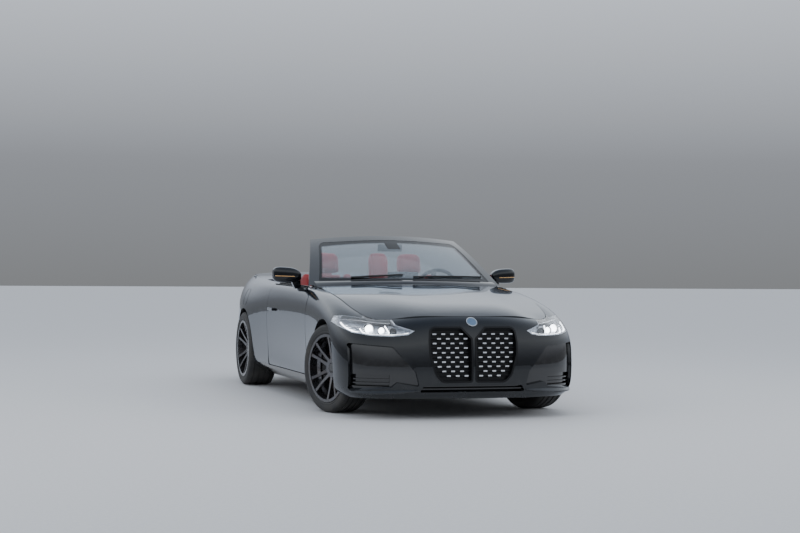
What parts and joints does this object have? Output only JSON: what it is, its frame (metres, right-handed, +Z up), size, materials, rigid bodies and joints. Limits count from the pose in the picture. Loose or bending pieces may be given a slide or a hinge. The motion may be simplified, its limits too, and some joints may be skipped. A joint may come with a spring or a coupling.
{
  "type": "convertible car",
  "caption": "Four-seat convertible car with its soft top stowed, built from body panels, cabin, suspension and steered road wheels that turn.",
  "frame": {"origin": "middle of the ground footprint, on the floor under the tyres", "axes": "+Z up, +Y towards the tail, +X towards the car's left side"},
  "size_m": [2.081, 4.7729, 1.3468],
  "materials": {
    "paint": "deep gloss",
    "black_plastic": "satin",
    "bright_studs": "bright",
    "lamp_body": "satin",
    "lamp_glass": "clear",
    "red_lamp": "gloss",
    "screen_glass": "clear",
    "screen_frame": "gloss",
    "chassis": "satin",
    "suspension": "rough",
    "exhaust_steel": "brushed",
    "engine_block": "cast",
    "trim": "fine grain",
    "red_leather": "soft grain",
    "tyre": "matte",
    "rim": "satin",
    "disc": "turned"
  },
  "bodies": {
    "root": {"underbody": "chassis", "front_bumper": "paint", "bumper_intakes": "black_plastic", "fenders": "paint", "grille_frames": "black_plastic", "grille_mesh": "black_plastic", "grille_studs": "bright_studs", "headlamps": "lamp_body", "headlamp_lenses": "lamp_glass", "quarters": "paint", "rear_bumper": "paint", "tail_lamps": "red_lamp", "tonneau_cover": "paint", "cowl": "black_plastic", "windscreen_frame": "screen_frame", "windscreen": "screen_glass", "front_suspension": "suspension", "rear_suspension": "suspension", "sills": "black_plastic", "dashboard": "trim", "centre_console": "trim", "seat_frames": "trim", "front_seats": "red_leather", "rear_bench": "red_leather", "side_trims": "red_leather", "cabin_mirror": "trim", "exhaust": "exhaust_steel", "engine": "engine_block", "wipers": "trim"},
    "bonnet": {"bonnet": "paint"},
    "boot_lid": {"boot_lid": "paint", "lid_lamps": "red_lamp"},
    "door_left": {"door_left": "paint", "mirror_left": "paint"},
    "door_right": {"door_right": "paint", "mirror_right": "paint"},
    "steering_wheel": {"steering_wheel": "trim"},
    "knuckle_left": {"knuckle_left": "suspension"},
    "knuckle_right": {"knuckle_right": "suspension"},
    "wheel_front_left": {"tyre_front_left": "tyre", "rim_front_left": "rim", "disc_front_left": "disc"},
    "wheel_rear_left": {"tyre_rear_left": "tyre", "rim_rear_left": "rim", "disc_rear_left": "disc"},
    "wheel_front_right": {"tyre_front_right": "tyre", "rim_front_right": "rim", "disc_front_right": "disc"},
    "wheel_rear_right": {"tyre_rear_right": "tyre", "rim_rear_right": "rim", "disc_rear_right": "disc"}
  },
  "joints": [
    {"name": "steer_left", "type": "hinge", "parent": "root", "child": "knuckle_left", "pos_m": [0.715, -1.534, 0.331], "axis": [0, 0, 1], "range_deg": [-52, 18]},
    {"name": "steer_right", "type": "hinge", "parent": "root", "child": "knuckle_right", "pos_m": [-0.715, -1.534, 0.331], "axis": [0, 0, 1], "range_deg": [-52, 18]},
    {"name": "steering_wheel_turn", "type": "hinge", "parent": "root", "child": "steering_wheel", "pos_m": [0.375, -0.345, 0.905], "axis": [0, 0.9063, 0.4226], "range_deg": [-780, 270]},
    {"name": "wheel_front_left_spin", "type": "hinge", "parent": "knuckle_left", "child": "wheel_front_left", "pos_m": [0.78672, -1.51207, 0.331], "axis": [0.9563, 0.2924, 0], "continuous": true},
    {"name": "wheel_front_right_spin", "type": "hinge", "parent": "knuckle_right", "child": "wheel_front_right", "pos_m": [-0.78672, -1.55593, 0.331], "axis": [0.9563, 0.2924, 0], "continuous": true},
    {"name": "wheel_rear_left_spin", "type": "hinge", "parent": "root", "child": "wheel_rear_left", "pos_m": [0.794, 1.317, 0.331], "axis": [1, 0, 0], "continuous": true},
    {"name": "wheel_rear_right_spin", "type": "hinge", "parent": "root", "child": "wheel_rear_right", "pos_m": [-0.794, 1.317, 0.331], "axis": [1, 0, 0], "continuous": true},
    {"name": "door_left_hinge", "type": "hinge", "parent": "root", "child": "door_left", "pos_m": [0.868, -0.91, 0.5], "axis": [0, 0, -1], "range_deg": [0, 65]},
    {"name": "door_right_hinge", "type": "hinge", "parent": "root", "child": "door_right", "pos_m": [-0.868, -0.91, 0.5], "axis": [0, 0, 1], "range_deg": [0, 65]},
    {"name": "bonnet_hinge", "type": "hinge", "parent": "root", "child": "bonnet", "pos_m": [0, -0.881, 0.91755], "axis": [-1, 0, 0], "range_deg": [0, 50]},
    {"name": "boot_hinge", "type": "hinge", "parent": "root", "child": "boot_lid", "pos_m": [0, 1.618, 0.98064], "axis": [1, 0, 0], "range_deg": [0, 65]}
  ],
  "couplings": [
    {"joint": "steer_right", "follows": "steer_left", "ratio": 1},
    {"joint": "steering_wheel_turn", "follows": "steer_left", "ratio": 15}
  ]
}
